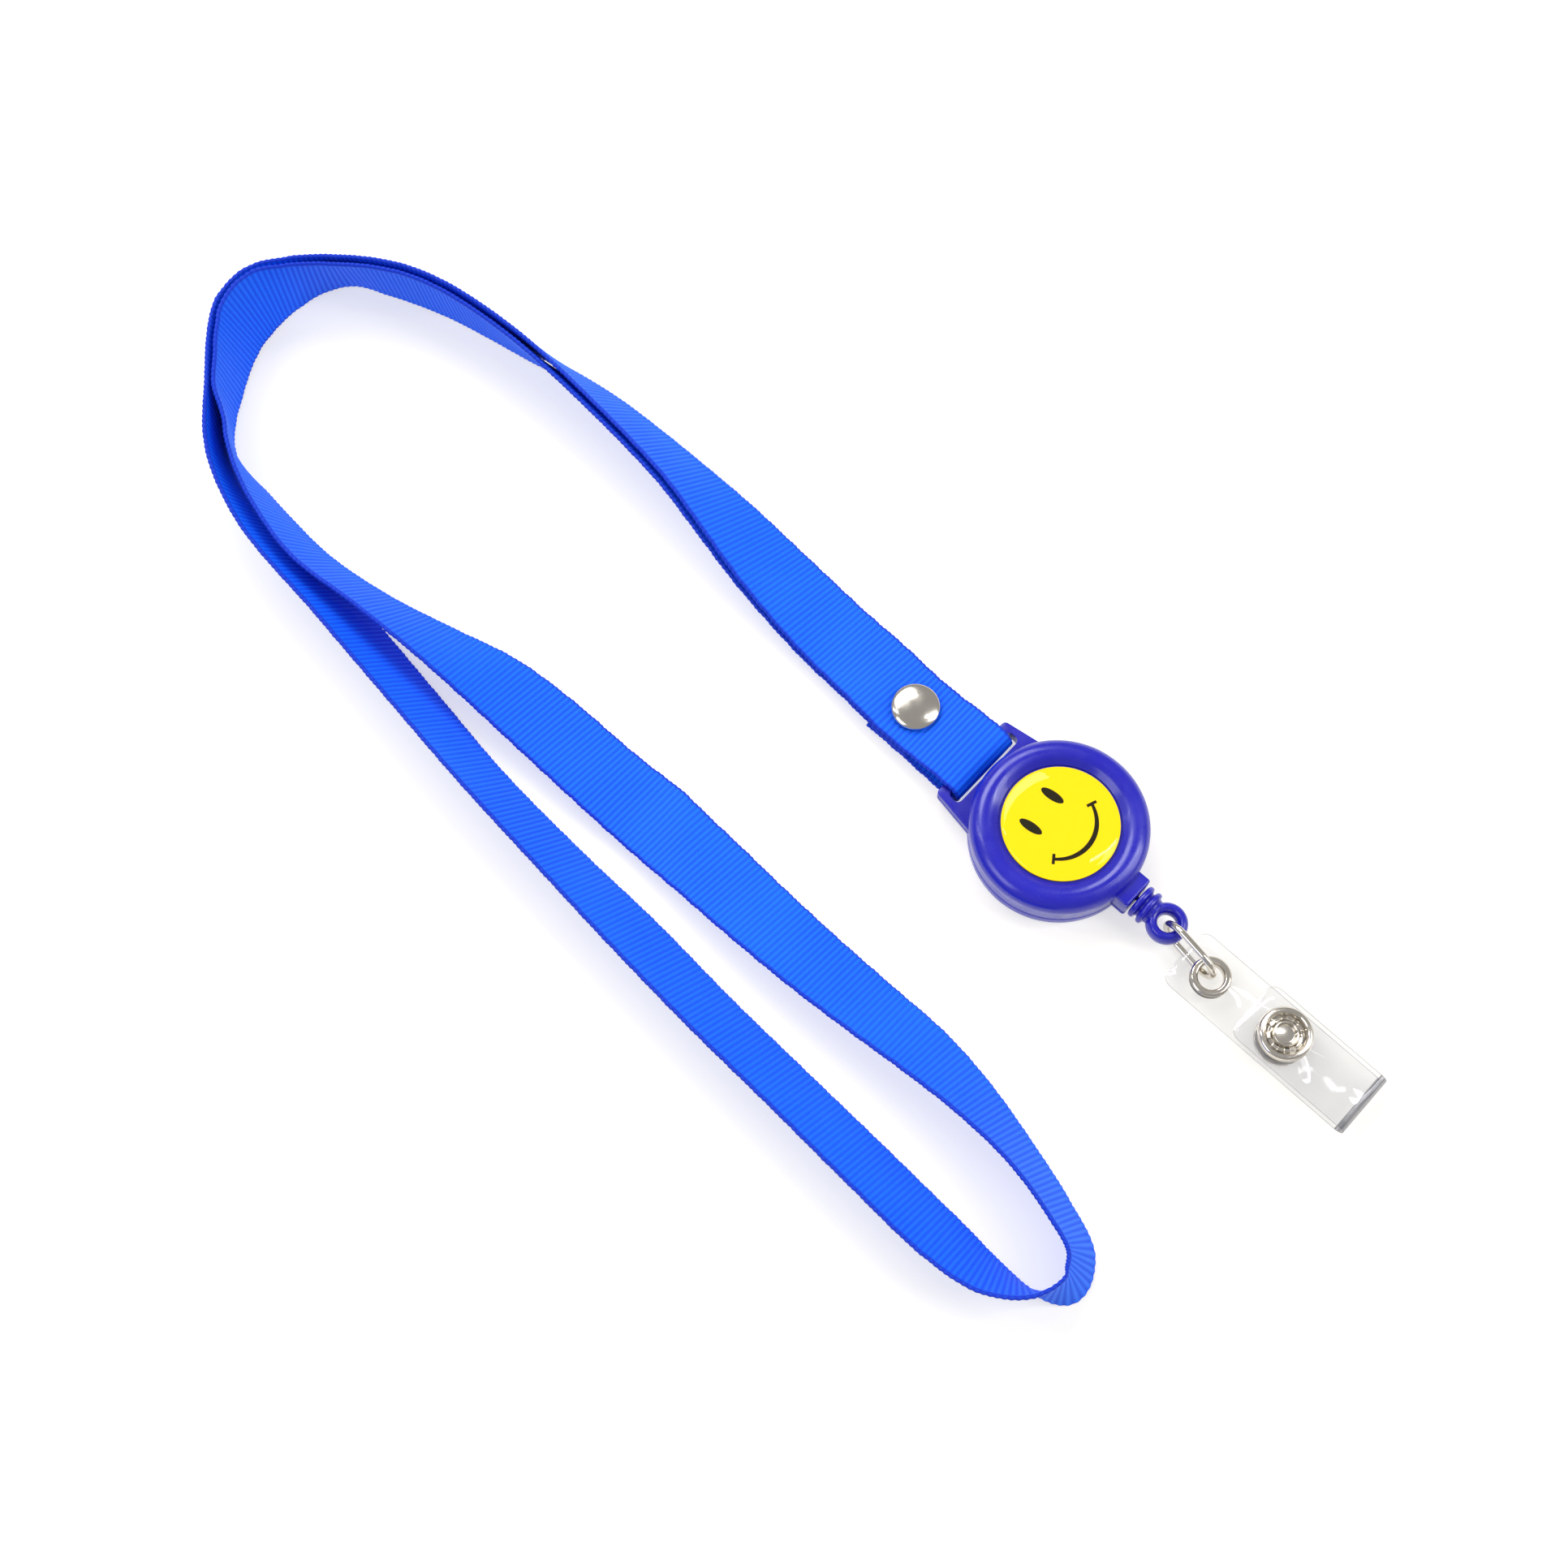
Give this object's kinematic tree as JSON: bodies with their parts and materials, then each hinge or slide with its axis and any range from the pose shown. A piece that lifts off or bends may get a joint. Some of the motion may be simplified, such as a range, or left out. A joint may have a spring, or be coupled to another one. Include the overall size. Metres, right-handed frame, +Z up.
{
  "type": "lanyard badge holder",
  "caption": "Flat woven neck lanyard riveted to a round retractable badge reel with a smiling-face sticker, a wire link and a clear snap strap for a badge.",
  "frame": {"origin": "middle of the assembly's box, on the table that it lies on", "axes": "+X along the lanyard towards the badge end, +Z up from the table"},
  "size_m": [0.2544, 0.0888, 0.0152],
  "materials": {
    "webbing": "ribbed woven polyester, azure blue",
    "case_plastic": "moulded, satin gloss, violet blue",
    "white_plastic": "moulded acetal",
    "spring_steel": "rolled strip",
    "nickel": "polished nickel plate",
    "cord": "braided nylon",
    "print": null,
    "resin": "clear domed resin",
    "clear_vinyl": "clear soft vinyl"
  },
  "bodies": {
    "lanyard": {"webbing_slot_fold": "webbing", "webbing_reel_run_front": "webbing", "webbing_reel_run_back": "webbing", "webbing_bend_outer": "webbing", "webbing_bend_inner": "webbing", "webbing_neck_run_left": "webbing", "webbing_neck_run_right": "webbing", "webbing_neck_end": "webbing", "rivet_cap": "nickel", "rivet_washer": "nickel"},
    "reel_case": {"back_cover": "case_plastic", "front_cover": "case_plastic", "axle_screw": "nickel", "sticker_print": "print", "resin_dome": "resin", "cord_lead": "cord"},
    "reel_spool": {"spool": "white_plastic", "spring_cover": "white_plastic", "power_spring": "spring_steel", "cord_winding": "cord"},
    "cord_end": {"cord_knot": "cord"},
    "bead": {"end_bead": "case_plastic"},
    "link": {"wire_link": "nickel"},
    "badge_strap": {"strap_lower_leaf": "clear_vinyl", "strap_bend": "clear_vinyl", "eyelet": "nickel", "snap_stud": "nickel", "snap_base": "nickel"},
    "strap_flap": {"strap_upper_leaf": "clear_vinyl", "snap_ring": "nickel", "snap_cup": "nickel"}
  },
  "joints": [
    {"name": "reel_swing", "type": "hinge", "parent": "lanyard", "child": "reel_case", "pos_m": [0.03712, 0.02843, 0.00295], "axis": [0, -1, 0], "range_deg": [-90, 90]},
    {"name": "cord_pull", "type": "slide", "parent": "reel_case", "child": "cord_end", "axis": [1, 0, 0], "range_m": [0, 0.6], "stiffness_N_per_m": 0.5, "springref_m": -1, "deforming": ["cord_lead"]},
    {"name": "spool_spin", "type": "hinge", "parent": "reel_case", "child": "reel_spool", "pos_m": [0.05677, 0.02843, 0.0046], "axis": [0, 0, 1], "range_deg": [-3300, 0]},
    {"name": "bead_swivel", "type": "hinge", "parent": "cord_end", "child": "bead", "pos_m": [0.07854, 0.02843, 0.0046], "axis": [1, 0, 0], "continuous": true},
    {"name": "link_swing", "type": "hinge", "parent": "bead", "child": "link", "pos_m": [0.08177, 0.02843, 0.0044], "axis": [0, 0, 1], "range_deg": [-52, 68]},
    {"name": "strap_swing", "type": "hinge", "parent": "link", "child": "badge_strap", "pos_m": [0.09345, 0.02679, 0.00265], "axis": [0, 0, 1], "range_deg": [-48, 32]},
    {"name": "flap_open", "type": "hinge", "parent": "badge_strap", "child": "strap_flap", "pos_m": [0.12565, 0.02679, 0.0039], "axis": [0, 1, 0], "range_deg": [0, 150], "deforming": ["strap_bend"]}
  ],
  "couplings": [
    {"joint": "spool_spin", "follows": "cord_pull", "rad_per_m": -94.3}
  ]
}
